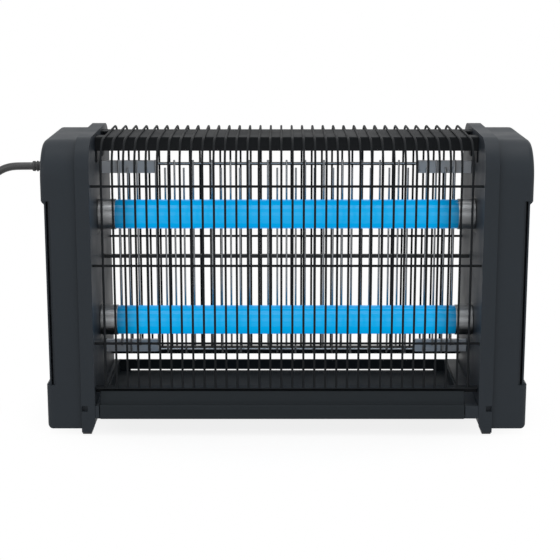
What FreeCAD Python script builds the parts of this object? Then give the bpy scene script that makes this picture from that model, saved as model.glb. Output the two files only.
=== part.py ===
"""Electric insect killer with two ultraviolet tubes, a high-voltage grid and a slide-out tray.

Millimetres. X runs to the right, Y to the back and Z up; the origin is on the floor under the middle.
Each separate piece is one object with its own label, and its sizes are bound to the sheet "Sizes".
"""

import FreeCAD, Part
import math
import os
import re
import Sketcher

Vector = FreeCAD.Vector
doc = FreeCAD.newDocument("InsectKiller")
sheet = doc.addObject("Spreadsheet::Sheet", "Sizes")

SIZES = [
    ("tube_length", 331.5, "T8 lamp, from cap face to cap face"),
    ("tube_radius", 12.9, "glass of a T8 lamp"),
    ("tube_glass", 0.9, "thickness of the glass"),
    ("tube_cap_length", 15.0, "aluminium cap of a lamp"),
    ("tube_cap_wall", 0.6, "sheet of the lamp's cap"),
    ("tube_play", 0.3, "gap from a lamp's cap to its holder"),
    ("tube_y", -15.0, "lamps, in front of the middle"),
    ("tube_low_z", 89.0, "axis of the lower lamp"),
    ("tube_pitch", 96.0, "height between the two lamps"),
    ("contact_radius", 1.2, "contact pin of a G13 cap"),
    ("contact_spread", 12.7, "distance between a cap's two pins"),
    ("contact_length", 7.0, "contact pin outside its cap"),
    ("foot_pad", 3.0, "thickness of a rubber foot"),
    ("pad_length", 22.0, "rubber foot, front to back"),
    ("pad_inset", 5.0, "rubber foot to the end of the frame"),
    ("arch_height", 5.0, "relief between the front and rear feet"),
    ("frame_half", 77.0, "half the depth of the inner frame"),
    ("frame_top", 258.0, "top of the inner frame"),
    ("frame_corner", 26.0, "outer radius of the frame's top corners"),
    ("frame_depth", 12.0, "thickness of the inner frame, side to side"),
    ("frame_wall", 3.0, "inner wall of the frame"),
    ("frame_rim", 5.5, "rim of the frame"),
    ("foot_slant_out", 4.0, "foot's inner edge, how far it leans out"),
    ("foot_slant_up", 8.0, "foot's inner edge, how high the slant goes"),
    ("cap_width", 30.0, "outer cap, side to side"),
    ("cap_half", 74.5, "half the depth of the outer cap"),
    ("cap_top", 255.0, "top of the outer cap"),
    ("cap_corner", 31.0, "outer radius of the cap's top corners"),
    ("cap_wall", 3.5, "front, back, top and bottom of the cap"),
    ("cap_side", 6.5, "side wall of the cap"),
    ("cap_round", 5.0, "rounding of the cap's outer edge"),
    ("recess_low", 45.0, "bottom of the sunk panel on the cap's side"),
    ("recess_high", 206.0, "top of the sunk panel"),
    ("recess_side", 3.0, "depth of the sunk panel, side, and of its slanted ends"),
    ("recess_front", 1.5, "depth of the sunk panel, front and back"),
    ("recess_wrap", 8.0, "how far the panel wraps round the front"),
    ("window_size", 5.0, "square moulding window in the frame's front"),
    ("window_deep", 3.0, "depth of that window"),
    ("window_z", 24.5, "height of that window"),
    ("holder_width", 25.0, "lamp holder, front to back"),
    ("holder_height", 32.0, "lamp holder, height"),
    ("holder_depth", 16.0, "lamp holder, into the cap"),
    ("holder_flange", 2.0, "flange round a lamp holder"),
    ("holder_slot", 3.0, "slot that takes a lamp's pins"),
    ("holder_slot_deep", 9.0, "depth of that slot"),
    ("snap_gap", 0.2, "gap round a piece that snaps into the frame"),
    ("post_radius", 4.5, "screw post of the frame"),
    ("post_high_z", 222.0, "height of the upper screw"),
    ("post_low_z", 32.0, "height of the two lower screws"),
    ("post_low_y", 55.0, "lower screws from the middle"),
    ("screw_shank", 1.5, "radius of a screw's shank"),
    ("screw_head", 3.4, "radius of a screw's head"),
    ("screw_head_high", 2.0, "height of a screw's head"),
    ("screw_length", 16.0, "length of a screw's shank"),
    ("screw_gap", 0.3, "gap round a screw's shank and head"),
    ("wire_radius", 1.0, "guard wire"),
    ("wire_end", 9.3, "first guard wire from the inner wall"),
    ("wire_count", 34, "wires in each guard"),
    ("wire_bend", 24.0, "bend of a guard wire, on its axis"),
    ("guard_in", 6.0, "guard wires from the frame's front and back"),
    ("cross_radius", 1.1, "cross rod of the guards"),
    ("cross_low_z", 81.0, "lowest cross rod"),
    ("cross_under", 14.0, "highest cross rod under the start of the wires' bend"),
    ("cross_count", 3, "cross rods in each guard"),
    ("channel_half", 30.0, "half the depth of the top channel"),
    ("channel_high", 12.0, "height of the top channel"),
    ("notch_deep", 8.5, "notch in each end of the top channel"),
    ("channel_drop", 3.0, "top channel under the frame's top"),
    ("sheet_thick", 1.2, "folded steel"),
    ("notch_half", 14.0, "half the depth of that notch"),
    ("tab_high", 22.0, "height of the channel's end tabs"),
    ("rail_top", 42.0, "top of the rail under the guard"),
    ("rail_wide", 9.0, "guard rail, front to back"),
    ("rail_high", 6.0, "guard rail, height of its flange"),
    ("tray_bottom", 15.0, "underside of the tray"),
    ("tray_high", 13.0, "height of the tray's side and back"),
    ("tray_front_high", 24.0, "height of the tray's front"),
    ("tray_wall", 2.0, "wall of the tray"),
    ("lip_out", 4.0, "pull lip in front of the tray"),
    ("lip_high", 13.0, "height of the pull lip"),
    ("tray_gap", 0.5, "gap between the tray and its guides"),
    ("slit_high", 1.2, "slit at the foot of the tray's rear wall"),
    ("slit_in", 12.0, "slit from the ends of the tray"),
    ("tray_lift", 0.15, "gap between the tray and its ledges"),
    ("ledge_in", 11.0, "ledge under the tray, out from the wall"),
    ("ledge_thick", 3.0, "ledge under the tray"),
    ("ledge_back", 12.0, "ledge from the frame's front"),
    ("guide_left", 3.5, "left guide, out from the wall"),
    ("guide_right", 11.5, "right guide, out from the wall"),
    ("guide_high", 11.0, "height of the tray's guides"),
    ("guide_lift", 1.0, "guides above the tray's underside"),
    ("grid_y", 15.0, "plane of the high-voltage rods"),
    ("grid_rod", 0.9, "radius of a high-voltage rod"),
    ("grid_end", 14.85, "first high-voltage rod from the inner wall"),
    ("grid_count", 37, "rods of both polarities"),
    ("grid_low_z", 50.0, "bottom of the grid"),
    ("grid_under", 26.0, "top of the grid under the top channel"),
    ("grid_short", 7.0, "how much shorter a rod is at its free end"),
    ("bracket_high", 11.0, "grid bracket, height"),
    ("bracket_thick", 5.0, "grid bracket, front to back"),
    ("bracket_edge", 1.0, "grid bracket from the grid's upper or lower end"),
    ("bracket_long", 48.0, "grid bracket from the inner wall"),
    ("carrier_edge", 3.0, "carrier rod from the grid's upper or lower end"),
    ("carrier_in", 10.0, "carrier rod from the inner wall"),
    ("spacer_z", 139.0, "height of the middle spacer"),
    ("spacer_high", 3.0, "height of the middle spacer"),
    ("ballast_deep", 28.0, "ballast, out from the wall"),
    ("ballast_high", 85.0, "ballast, height"),
    ("ballast_gap", 2.0, "gap in front of and behind a ballast"),
    ("ballast_z", 48.0, "bottom of the lower ballast"),
    ("ballast_pitch", 94.0, "height between the ballasts"),
    ("starter_radius", 10.75, "glow starter"),
    ("starter_long", 36.0, "glow starter"),
    ("starter_y", 35.0, "starters behind the middle"),
    ("starter_z", 60.0, "bottom of the lower starter's socket"),
    ("starter_pitch", 78.0, "height between the starters"),
    ("socket_high", 10.0, "starter's socket"),
    ("socket_wide", 26.0, "starter's socket"),
    ("board_gap", 5.0, "circuit board to the rear wall"),
    ("board_wide", 58.0, "circuit board, front to back"),
    ("board_low", 70.0, "bottom of the circuit board"),
    ("board_high", 105.0, "height of the circuit board"),
    ("board_thick", 1.6, "circuit board"),
    ("board_stand", 6.0, "spacers under the circuit board"),
    ("stand_radius", 3.0, "radius of a spacer"),
    ("coil_size", 28.0, "step-up transformer's sides"),
    ("coil_deep", 22.0, "step-up transformer, off the board"),
    ("capacitor_radius", 7.5, "smoothing capacitor"),
    ("capacitor_long", 20.0, "smoothing capacitor"),
    ("capacitor_pitch", 19.0, "height between capacitors"),
    ("capacitor_edge", 11.5, "capacitors from the board's rear edge"),
    ("capacitor_low", 22.0, "lowest capacitor from the board's lower edge"),
    ("coil_edge", 2.0, "transformer past the board's middle"),
    ("coil_up", 38.0, "transformer from the board's lower edge"),
    ("stand_in", 6.0, "spacers from the board's edges"),
    ("terminal_long", 34.0, "terminal block"),
    ("terminal_high", 14.0, "terminal block"),
    ("cord_radius", 3.5, "round two-core mains lead"),
    ("cord_y", 40.0, "mains lead behind the middle"),
    ("cord_z", 220.0, "height where the mains lead leaves"),
    ("boot_out", 24.0, "strain relief outside the cap"),
    ("boot_lip", 2.0, "thickness of the strain relief's two flanges"),
    ("boot_base", 6.0, "strain relief's radius at the cap"),
    ("boot_tip", 4.6, "strain relief's radius at its tip"),
    ("boot_flange", 7.4, "radius of the strain relief's flange"),
    ("boot_groove", 1.2, "groove that takes the cap's wall"),
    ("coil_lane_low", 28.5, "radius of the coil's inner turn"),
    ("coil_lanes", 3, "turns side by side in the coil"),
    ("coil_layers", 2, "layers of the coil"),
    ("coil_x", -315.5, "middle of the coil"),
    ("coil_y", 24.0, "middle of the coil"),
    ("plug_x", -350.0, "middle of the plug"),
    ("plug_y", -22.0, "where the lead enters the plug"),
    ("plug_thick", 13.8, "flat two-pin plug"),
    ("plug_wide", 30.0, "flat two-pin plug"),
    ("plug_long", 35.0, "flat two-pin plug"),
    ("plug_pin_radius", 2.0, "pin of the plug"),
    ("plug_pin_long", 19.0, "pin of the plug"),
    ("plug_pin_spread", 18.6, "distance between the plug's pins"),
    ("tie_wide", 8.0, "tie round the coil"),
    ("tie_thick", 1.0, "tie round the coil"),
]
for row, (alias, number, note) in enumerate(SIZES, start=1):
    sheet.set(f"A{row}", note)
    sheet.set(f"B{row}", str(number))
    sheet.setAlias(f"B{row}", alias)
doc.recompute()

ALIAS = re.compile(r"\b(" + "|".join(alias for alias, number, note in SIZES) + r")\b")

# Places that several pieces share, as expressions of the sheet's sizes.
INNER = "(tube_length / 2 + tube_play)"
SEAM = f"({INNER} + frame_depth)"
SIDE = f"({SEAM} + cap_width)"
WALL_BACK = f"({INNER} + frame_wall)"
POST_END = f"({SIDE} - cap_side)"
TUBE_HIGH = "(tube_low_z + tube_pitch)"
GUARD_Y = "(frame_half - guard_in)"
WIRE_PITCH = f"(2 * ({INNER} - wire_end) / (wire_count - 1))"
GRID_PITCH = f"(2 * ({INNER} - grid_end) / (grid_count - 1))"
TRAY_HALF = "(frame_half - lip_out)"
CHANNEL_TOP = "(frame_top - channel_drop)"
GUARD_TOP = f"({CHANNEL_TOP} + wire_radius * 0.867)"
GRID_TOP = f"({CHANNEL_TOP} - grid_under)"
CROSS_PITCH = f"(({GUARD_TOP} - wire_bend - cross_under - cross_low_z) / (cross_count - 1))"
CROSS_Y = f"({GUARD_Y} - wire_radius - cross_radius)"
STRIP_Y = "(grid_y + grid_rod)"
TRAY_LEFT = f"(-{INNER} + guide_left + tray_gap)"
TRAY_RIGHT = f"({INNER} - guide_right - tray_gap)"
PANEL_FACE = f"({SIDE} - recess_side)"
POSTS = (("0", "post_high_z"), ("-post_low_y", "post_low_z"), ("post_low_y", "post_low_z"))


def size(alias):
    return float(sheet.get(alias))


def bound(text):
    return ALIAS.sub(r"Sizes.\1", text)


def bind(thing, **sizes):
    for prop, text in sizes.items():
        thing.setExpression(prop, bound(text))
    return thing


# ---- plain solids and booleans

TURN = {
    "X": FreeCAD.Rotation(Vector(0, 1, 0), 90),
    "Y": FreeCAD.Rotation(Vector(1, 0, 0), -90),
    "Z": FreeCAD.Rotation(),
}


def place(thing, x, y, z):
    for axis, text in zip("xyz", (x, y, z)):
        thing.setExpression(f"Placement.Base.{axis}", bound(text))
    return thing


def block(name, x, y, z):
    """A box between a low and a high place on each axis."""
    box = doc.addObject("Part::Box", name)
    for prop, (low, high) in zip(("Length", "Width", "Height"), (x, y, z)):
        bind(box, **{prop: f"({high}) - ({low})"})
    return place(box, x[0], y[0], z[0])


def round_bar(name, radius, long, axis, start):
    """A cylinder that starts at a place and runs along an axis."""
    bar = doc.addObject("Part::Cylinder", name)
    bar.Placement = FreeCAD.Placement(Vector(), TURN[axis])
    bind(bar, Radius=radius, Height=long)
    return place(bar, *start)


def slim_bar(name, radius, long, axis, start, flats=8):
    """A bar with flats, for what repeats many times or is never seen."""
    bar = doc.addObject("Part::Prism", name)
    bar.Polygon = flats
    bar.Placement = FreeCAD.Placement(Vector(), TURN[axis])
    bind(bar, Circumradius=radius, Height=long)
    return place(bar, *start)


def join(name, *shapes):
    fused = doc.addObject("Part::MultiFuse", name)
    fused.Shapes = list(shapes)
    return fused


def group(name, *shapes):
    """Separate pieces of one kind, kept as one object."""
    held = doc.addObject("Part::Compound", name)
    held.Links = list(shapes)
    return held


def cut(name, base, *tools):
    less = doc.addObject("Part::Cut", name)
    less.Base = base
    less.Tool = tools[0] if len(tools) == 1 else join(f"{name}_tools", *tools)
    return less


def mirrored(name, source, axis):
    """The same piece on the other side of the middle."""
    twin = doc.addObject("Part::Mirroring", name)
    twin.Source = source
    twin.Normal = Vector(axis == "X", axis == "Y", 0)
    return twin


# ---- moulded and folded bodies


def new_body(name):
    return doc.addObject("PartDesign::Body", name)


def origin_part(body, role):
    return next(item for item in body.Origin.OriginFeatures if item.Role == role)


def sketch_on(body, role, offset="0"):
    sketch = body.newObject("Sketcher::SketchObject", f"{body.Name}_sketch")
    sketch.AttachmentSupport = [(origin_part(body, role), "")]
    sketch.MapMode = "FlatFace"
    sketch.setExpression("AttachmentOffset.Base.z", bound(offset))
    return sketch


def hold_point(sketch, geometry, point, across, up):
    """Ties a point of the sketch to its two distances from the origin."""
    for kind, text in (("DistanceX", across), ("DistanceY", up)):
        index = sketch.addConstraint(Sketcher.Constraint(kind, -1, 1, geometry, point, 1.0))
        sketch.setExpression(f"Constraints[{index}]", bound(text))


def outline(body, role, corners, offset="0"):
    """A sketch of one closed outline with straight sides."""
    sketch = sketch_on(body, role, offset)
    count = len(corners)
    ring = [
        Vector(math.cos(2 * math.pi * i / count), math.sin(2 * math.pi * i / count), 0)
        for i in range(count)
    ]
    for i in range(count):
        sketch.addGeometry(Part.LineSegment(ring[i], ring[(i + 1) % count]))
    for i, (across, up) in enumerate(corners):
        sketch.addConstraint(Sketcher.Constraint("Coincident", i - 1 if i else count - 1, 2, i, 1))
        hold_point(sketch, i, 1, across, up)
    return sketch


def oblong(body, role, across, up, offset="0"):
    (left, right), (low, high) = across, up
    return outline(body, role, ((left, low), (right, low), (right, high), (left, high)), offset)


def arch(body, half, low, top, corner, offset):
    """A sketch of an upright outline, square at its foot and round at its two top corners."""
    sketch = sketch_on(body, "YZ_Plane", offset)
    side, high, bend = 60, 200, 25
    up = Vector(0, 0, 1)
    right = Part.Circle(Vector(side - bend, high - bend, 0), up, bend)
    left = Part.Circle(Vector(bend - side, high - bend, 0), up, bend)
    for piece in (
        Part.LineSegment(Vector(-side, 0, 0), Vector(side, 0, 0)),
        Part.LineSegment(Vector(side, 0, 0), Vector(side, high - bend, 0)),
        Part.ArcOfCircle(right, 0, math.pi / 2),
        Part.LineSegment(Vector(side - bend, high, 0), Vector(bend - side, high, 0)),
        Part.ArcOfCircle(left, math.pi / 2, math.pi),
        Part.LineSegment(Vector(-side, high - bend, 0), Vector(-side, 0, 0)),
    ):
        sketch.addGeometry(piece)
    sketch.addConstraint(Sketcher.Constraint("Coincident", 0, 2, 1, 1))
    sketch.addConstraint(Sketcher.Constraint("Coincident", 5, 2, 0, 1))
    for joint in range(1, 5):
        sketch.addConstraint(Sketcher.Constraint("Tangent", joint, 2, joint + 1, 1))
    for line, way in ((1, "Vertical"), (3, "Horizontal"), (5, "Vertical")):
        sketch.addConstraint(Sketcher.Constraint(way, line))
    hold_point(sketch, 0, 1, f"-({half})", low)
    hold_point(sketch, 0, 2, half, low)
    for kind, text in (
        (("Radius", 2, bend), corner),
        (("Radius", 4, bend), corner),
        (("DistanceY", -1, 1, 3, 1, high), top),
    ):
        index = sketch.addConstraint(Sketcher.Constraint(*kind))
        sketch.setExpression(f"Constraints[{index}]", bound(text))
    return sketch


def circles(body, role, centres, radius, offset="0"):
    sketch = sketch_on(body, role, offset)
    for i, (across, up) in enumerate(centres):
        sketch.addGeometry(Part.Circle(Vector(3 * i, 0, 0), Vector(0, 0, 1), 1))
        hold_point(sketch, i, 3, across, up)
        index = sketch.addConstraint(Sketcher.Constraint("Radius", i, 1.0))
        sketch.setExpression(f"Constraints[{index}]", bound(radius))
    return sketch


def pad(body, sketch, long, **options):
    feature = body.newObject("PartDesign::Pad", f"{body.Name}_pad")
    feature.Profile = sketch
    for prop, choice in options.items():
        setattr(feature, prop, choice)
    bind(feature, Length=long)
    return feature


def pocket(body, sketch, long, **options):
    """Cuts a sketch away and makes sure that something went."""
    doc.recompute()
    before = body.Shape.Volume
    feature = body.newObject("PartDesign::Pocket", f"{body.Name}_pocket")
    feature.Profile = sketch
    for prop, choice in options.items():
        setattr(feature, prop, choice)
    bind(feature, Length=long)
    doc.recompute()
    if not body.Shape.Volume < before:
        raise RuntimeError(f"{feature.Label} cuts nothing")
    return feature


def soften(body, radius, wanted):
    """Rounds the edges whose ends both pass a test."""
    doc.recompute()
    base = body.Tip
    names = [
        f"Edge{number}"
        for number, edge in enumerate(base.Shape.Edges, start=1)
        if len(edge.Vertexes) == 2 and wanted(edge)
    ]
    if not names:
        raise RuntimeError(f"{body.Label} has no such edge")
    feature = body.newObject("PartDesign::Fillet", f"{body.Name}_fillet")
    feature.Base = (base, names)
    bind(feature, Radius=radius)
    doc.recompute()
    if not feature.isValid():
        raise RuntimeError(f"{feature.Label} can't round its edges")
    return feature


def near(a, b):
    return abs(a - b) < 0.01


def ends(edge):
    return [vertex.Point for vertex in edge.Vertexes]


def along_x_at(y, z):
    """Edges along X at a place in front of and behind the middle."""
    return lambda edge: near(edge.Length, abs(ends(edge)[0].x - ends(edge)[1].x)) and all(
        near(abs(p.y), y) and near(p.z, z) for p in ends(edge)
    )


def in_plane_x(x, over):
    return lambda edge: all(near(p.x, x) and p.z > over for p in ends(edge))


def inner_half():
    return size("tube_length") / 2 + size("tube_play")


def side_half():
    return inner_half() + size("frame_depth") + size("cap_width")


# ---- outer caps


def outer_cap():
    """A moulded cap with a sunk side panel, open towards the frame."""
    body = new_body("cap_moulding")
    half, top, low = "cap_half", "cap_top", "foot_pad"
    pad(body, arch(body, half, low, top, "cap_corner", SEAM), "cap_width")
    soften(body, "cap_round", in_plane_x(side_half(), size("foot_pad") - 1))
    panel = ("recess_low", "recess_high")
    slanted = (
        (PANEL_FACE, "recess_low + recess_side"),
        (SIDE, "recess_low"),
        (f"{SIDE} + 1", "recess_low"),
        (f"{SIDE} + 1", "recess_high"),
        (SIDE, "recess_high"),
        (PANEL_FACE, "recess_high - recess_side"),
    )
    pocket(body, outline(body, "XZ_Plane", slanted), f"2 * {half} + 2", Midplane=True)
    wrap = (f"{SIDE} - recess_wrap", f"{SIDE} + 1")
    front = oblong(body, "XZ_Plane", wrap, panel, half)
    pocket(body, front, "recess_front")
    rear = oblong(body, "XZ_Plane", wrap, panel, f"-{half}")
    pocket(body, rear, "recess_front", Reversed=True)
    wall = "cap_wall"
    inside = (f"{half} - {wall}", f"{low} + {wall}", f"{top} - {wall}", f"cap_corner - {wall}")
    pocket(body, arch(body, *inside, SEAM), "cap_width - cap_side", Reversed=True)
    holes = circles(body, "YZ_Plane", POSTS, "screw_shank + screw_gap", POST_END)
    pocket(body, holes, "cap_side + 1", Reversed=True)
    sinks = circles(body, "YZ_Plane", POSTS, "screw_head + screw_gap", f"{PANEL_FACE} - screw_head_high")
    pocket(body, sinks, "screw_head_high + recess_side + 1", Reversed=True)
    return body


cap = outer_cap()
cap.Label = "right_outer_cap"
boot_hole = round_bar(
    "boot_hole", "boot_base - boot_groove", "cap_side + 2", "X", (f"-{SIDE} - 1", "cord_y", "cord_z")
)
left_outer_cap = cut("left_outer_cap", mirrored("left_cap_moulding", cap, "X"), boot_hole)

# ---- inner frames


def inner_frame():
    """The wall that carries the lamps, its rim, its feet and the posts for the cap's screws."""
    body = new_body("frame_moulding")
    half, top, low = "frame_half", "frame_top", "foot_pad"
    pad(body, arch(body, half, low, top, "frame_corner", INNER), "frame_depth")
    rim = "frame_rim"
    inside = (f"{half} - {rim}", f"{low} + {rim} + arch_height", f"{top} - {rim}", f"frame_corner - {rim}")
    pocket(body, arch(body, *inside, WALL_BACK), "frame_depth", Reversed=True)
    foot = f"({half} - pad_inset - pad_length)"
    relief = oblong(body, "YZ_Plane", (f"-{foot}", foot), ("0", f"{low} + arch_height"), INNER)
    pocket(body, relief, "frame_depth + 1", Reversed=True)
    lean = (
        (f"{INNER} - 1", "0"),
        (f"{INNER} + foot_slant_out", "0"),
        (f"{INNER} + foot_slant_out", low),
        (INNER, f"{low} + foot_slant_up"),
        (f"{INNER} - 1", f"{low} + foot_slant_up"),
    )
    pocket(body, outline(body, "XZ_Plane", lean), f"2 * {half} + 2", Midplane=True)
    for tube_z in ("tube_low_z", TUBE_HIGH):
        across = ("tube_y - holder_width / 2 - snap_gap", "tube_y + holder_width / 2 + snap_gap")
        high = "(holder_height / 2 + snap_gap)"
        window = oblong(body, "YZ_Plane", across, (f"{tube_z} - {high}", f"{tube_z} + {high}"), INNER)
        pocket(body, window, "frame_wall + 1", Reversed=True)
    pad(body, circles(body, "YZ_Plane", POSTS, "post_radius", INNER), f"{POST_END} - {INNER}")
    pilots = circles(body, "YZ_Plane", POSTS, "screw_shank", f"{POST_END} - screw_length")
    pocket(body, pilots, "screw_length + 1", Reversed=True)
    middle = f"({SEAM} - frame_depth / 4)"
    square = (f"{middle} - window_size / 2", f"{middle} + window_size / 2")
    tall = ("window_z - window_size / 2", "window_z + window_size / 2")
    pocket(body, oblong(body, "XZ_Plane", square, tall, half), "window_deep")
    return body


frame = inner_frame()
frame.Label = "right_inner_frame"
left_inner_frame = mirrored("left_inner_frame", frame, "X")


def both_sides(name, right):
    """A piece of the right side and its twin on the left."""
    right.Label = f"right_{name}"
    return [right, mirrored(f"left_{name}", right, "X")]


nodes = [left_outer_cap, cap, left_inner_frame, frame]

# ---- feet and screws
pad_near = "(frame_half - pad_inset - pad_length)"
rubbers = [
    block(
        f"rubber_{end}",
        (f"{INNER} + foot_slant_out", SEAM),
        (low, f"{low} + pad_length"),
        ("0", "foot_pad"),
    )
    for end, low in (("front", f"(-{pad_near} - pad_length)"), ("rear", pad_near))
]
rubbers += [mirrored(f"left_{rubber.Name}", rubber, "X") for rubber in rubbers]
nodes.append(group("rubber_feet", *rubbers))


def panel_screw(number, y, z):
    """A pan-head screw along X, with its head in the cap's sunk panel."""
    seat = f"{PANEL_FACE} - screw_head_high"
    head = slim_bar(f"screw_head_{number}", "screw_head", "screw_head_high", "X", (seat, y, z), 16)
    shank_start = f"{POST_END} - screw_length + 1"
    shank_long = f"{seat} - ({POST_END} - screw_length + 1) + 0.5"
    shank = slim_bar(f"screw_shank_{number}", "screw_shank", shank_long, "X", (shank_start, y, z))
    return join(f"screw_{number}", head, shank)


cap_screws = [panel_screw(number, y, z) for number, (y, z) in enumerate(POSTS)]
nodes += both_sides("cap_screws", group("right_cap_screws", *cap_screws))

# ---- guards and their carriers

WIRE_FLATS = 6
BEND_CHORDS = 3


def guard_hoops():
    """Wires with six flats that rise from the front rail, bend over the top and come down behind."""
    body = new_body("wire_row")
    first = f"-({INNER} - wire_end)"
    path = sketch_on(body, "YZ_Plane", first)
    stops = [(f"-{GUARD_Y}", "rail_top")]
    for chord in range(BEND_CHORDS + 1):
        turned = math.pi / 2 * chord / BEND_CHORDS
        across = f"-{GUARD_Y} + {1 - math.cos(turned):.5f} * wire_bend"
        stops.append((across, f"{GUARD_TOP} - {1 - math.sin(turned):.5f} * wire_bend"))
    stops += [(f"-({across})", up) for across, up in reversed(stops)]
    count = len(stops)
    spots = [Vector(-70 + 12 * i, 40 + 9 * i * (count - i), 0) for i in range(count)]
    for i, (start, stop) in enumerate(zip(spots, spots[1:])):
        path.addGeometry(Part.LineSegment(start, stop))
        hold_point(path, i, 1, *stops[i])
        if i:
            path.addConstraint(Sketcher.Constraint("Coincident", i - 1, 2, i, 1))
    hold_point(path, count - 2, 2, *stops[-1])
    flats = [
        (
            f"{first} + {math.cos(turned):.5f} * wire_radius",
            f"-{GUARD_Y} + {math.sin(turned):.5f} * wire_radius",
        )
        for turned in (2 * math.pi * flat / WIRE_FLATS for flat in range(WIRE_FLATS))
    ]
    section = outline(body, "XY_Plane", flats, "rail_top")
    doc.recompute()
    wire = body.newObject("PartDesign::AdditivePipe", "wire")
    wire.Profile = section
    wire.Spine = (path, [f"Edge{i}" for i in range(1, count)])
    wire.Transition = "Right corner"
    doc.recompute()
    row = body.newObject("PartDesign::LinearPattern", "wires")
    row.Originals = [wire]
    row.Direction = (origin_part(body, "X_Axis"), [""])
    bind(row, Length=f"(wire_count - 1) * {WIRE_PITCH}", Occurrences="wire_count")
    body.Tip = row
    return body


hoops = guard_hoops()
hoops.Label = "guard_hoops"
cross_rods = [
    slim_bar(
        f"cross_rod_{number}",
        "cross_radius",
        f"2 * {INNER}",
        "X",
        (f"-{INNER}", f"-{CROSS_Y}", f"cross_low_z + {number} * {CROSS_PITCH}"),
    )
    for number in range(int(size("cross_count")))
]
front_guard_rods = group("front_guard_rods", *cross_rods)
nodes += [hoops, front_guard_rods, mirrored("rear_guard_rods", front_guard_rods, "Y")]


def top_channel():
    """Steel folded into a channel that opens downwards, notched and tabbed at both ends."""
    body = new_body("top_channel")
    half, thick = "channel_half", "sheet_thick"
    low = f"({CHANNEL_TOP} - channel_high)"
    fold = (
        (f"-{half}", low),
        (f"-{half} + {thick}", low),
        (f"-{half} + {thick}", f"{CHANNEL_TOP} - {thick}"),
        (f"{half} - {thick}", f"{CHANNEL_TOP} - {thick}"),
        (f"{half} - {thick}", low),
        (half, low),
        (half, CHANNEL_TOP),
        (f"-{half}", CHANNEL_TOP),
    )
    pad(body, outline(body, "YZ_Plane", fold), f"2 * {INNER}", Midplane=True)
    soften(
        body,
        "sheet_thick",
        along_x_at(size("channel_half"), size("frame_top") - size("channel_drop")),
    )
    for left, right in (
        (f"-{INNER} - 1", f"-{INNER} + notch_deep"),
        (f"{INNER} - notch_deep", f"{INNER} + 1"),
    ):
        notch = oblong(body, "XY_Plane", (left, right), ("-notch_half", "notch_half"), CHANNEL_TOP)
        pocket(body, notch, "2 * sheet_thick")
    for left, right in ((f"-{INNER}", f"-{INNER} + {thick}"), (f"{INNER} - {thick}", INNER)):
        for near_edge, far_edge in (
            ("notch_half", f"{half} - 2 * {thick}"),
            (f"2 * {thick} - {half}", "-notch_half"),
        ):
            start = f"{CHANNEL_TOP} - {thick} / 2"
            tab = oblong(body, "XY_Plane", (left, right), (near_edge, far_edge), start)
            pad(body, tab, "tab_high", Reversed=True)
    return body


def guard_rail():
    """An angle that carries the lower ends of one guard's wires."""
    body = new_body("front_guard_rail")
    front = f"(-{GUARD_Y} - wire_radius)"
    back = f"({front} + rail_wide)"
    angle = (
        (front, "rail_top - sheet_thick"),
        (f"{back} - sheet_thick", "rail_top - sheet_thick"),
        (f"{back} - sheet_thick", "rail_top - rail_high"),
        (back, "rail_top - rail_high"),
        (back, "rail_top"),
        (front, "rail_top"),
    )
    pad(body, outline(body, "YZ_Plane", angle), f"2 * {INNER}", Midplane=True)
    return body


rail = guard_rail()
nodes += [top_channel(), rail, mirrored("rear_guard_rail", rail, "Y")]

# ---- tray and its guides


def collection_tray():
    """An open tray whose front rises into a sloping face above a pull lip."""
    body = new_body("collection_tray")
    floor, front, back = "tray_bottom", f"-{TRAY_HALF}", TRAY_HALF
    rise = f"({floor} + tray_front_high)"
    profile = (
        (f"{front} - lip_out", floor),
        (back, floor),
        (back, f"{floor} + tray_high"),
        (f"{front} + 2 * tray_wall", f"{floor} + tray_high"),
        (f"{front} + 2 * tray_wall", rise),
        (f"{front} + tray_wall", rise),
        (front, f"{floor} + lip_high"),
        (f"{front} - lip_out", f"{floor} + lip_high"),
    )
    sketch = outline(body, "YZ_Plane", profile, TRAY_LEFT)
    pad(body, sketch, f"{TRAY_RIGHT} - {TRAY_LEFT}")
    inside = (f"{TRAY_LEFT} + tray_wall", f"{TRAY_RIGHT} - tray_wall")
    deep = (f"{front} + 2 * tray_wall", f"{back} - tray_wall")
    hollow = oblong(body, "XY_Plane", inside, deep, f"{floor} + tray_wall")
    pocket(body, hollow, "tray_front_high", Reversed=True)
    long = (f"{TRAY_LEFT} + slit_in", f"{TRAY_RIGHT} - slit_in")
    high = (f"{floor} + tray_wall", f"{floor} + tray_wall + slit_high")
    slit = oblong(body, "XZ_Plane", long, high, f"-{back}")
    pocket(body, slit, "1.5 * tray_wall", Reversed=True)
    lip_front = -size("frame_half")
    soften(body, "lip_out / 2.5", lambda edge: all(near(p.y, lip_front) for p in ends(edge))
           and near(ends(edge)[0].z, ends(edge)[1].z))
    return body


full_depth = ("-frame_half", "frame_half")
ledge = block(
    "right_tray_ledge",
    (f"{INNER} - ledge_in", INNER),
    ("ledge_back - frame_half", "frame_half"),
    ("tray_bottom - tray_lift - ledge_thick", "tray_bottom - tray_lift"),
)
nodes += both_sides("tray_ledge", ledge)
guide_up = ("tray_bottom + guide_lift", "tray_bottom + guide_lift + guide_high")
nodes += [
    block("left_tray_guide", (f"-{INNER}", f"-{INNER} + guide_left"), full_depth, guide_up),
    block("right_tray_guide", (f"{INNER} - guide_right", INNER), full_depth, guide_up),
    collection_tray(),
]

# ---- high-voltage grid


def grid_rods(name, first, low, high):
    """Every second rod of the grid, counted from its left end."""
    rods = []
    for number in range(first, int(size("grid_count")), 2):
        x = f"({number} - (grid_count - 1) / 2) * {GRID_PITCH}"
        rods.append(slim_bar(f"{name}_{number}", "grid_rod", f"{high} - ({low})", "Z", (x, "grid_y", low)))
    return group(name, *rods)


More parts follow.
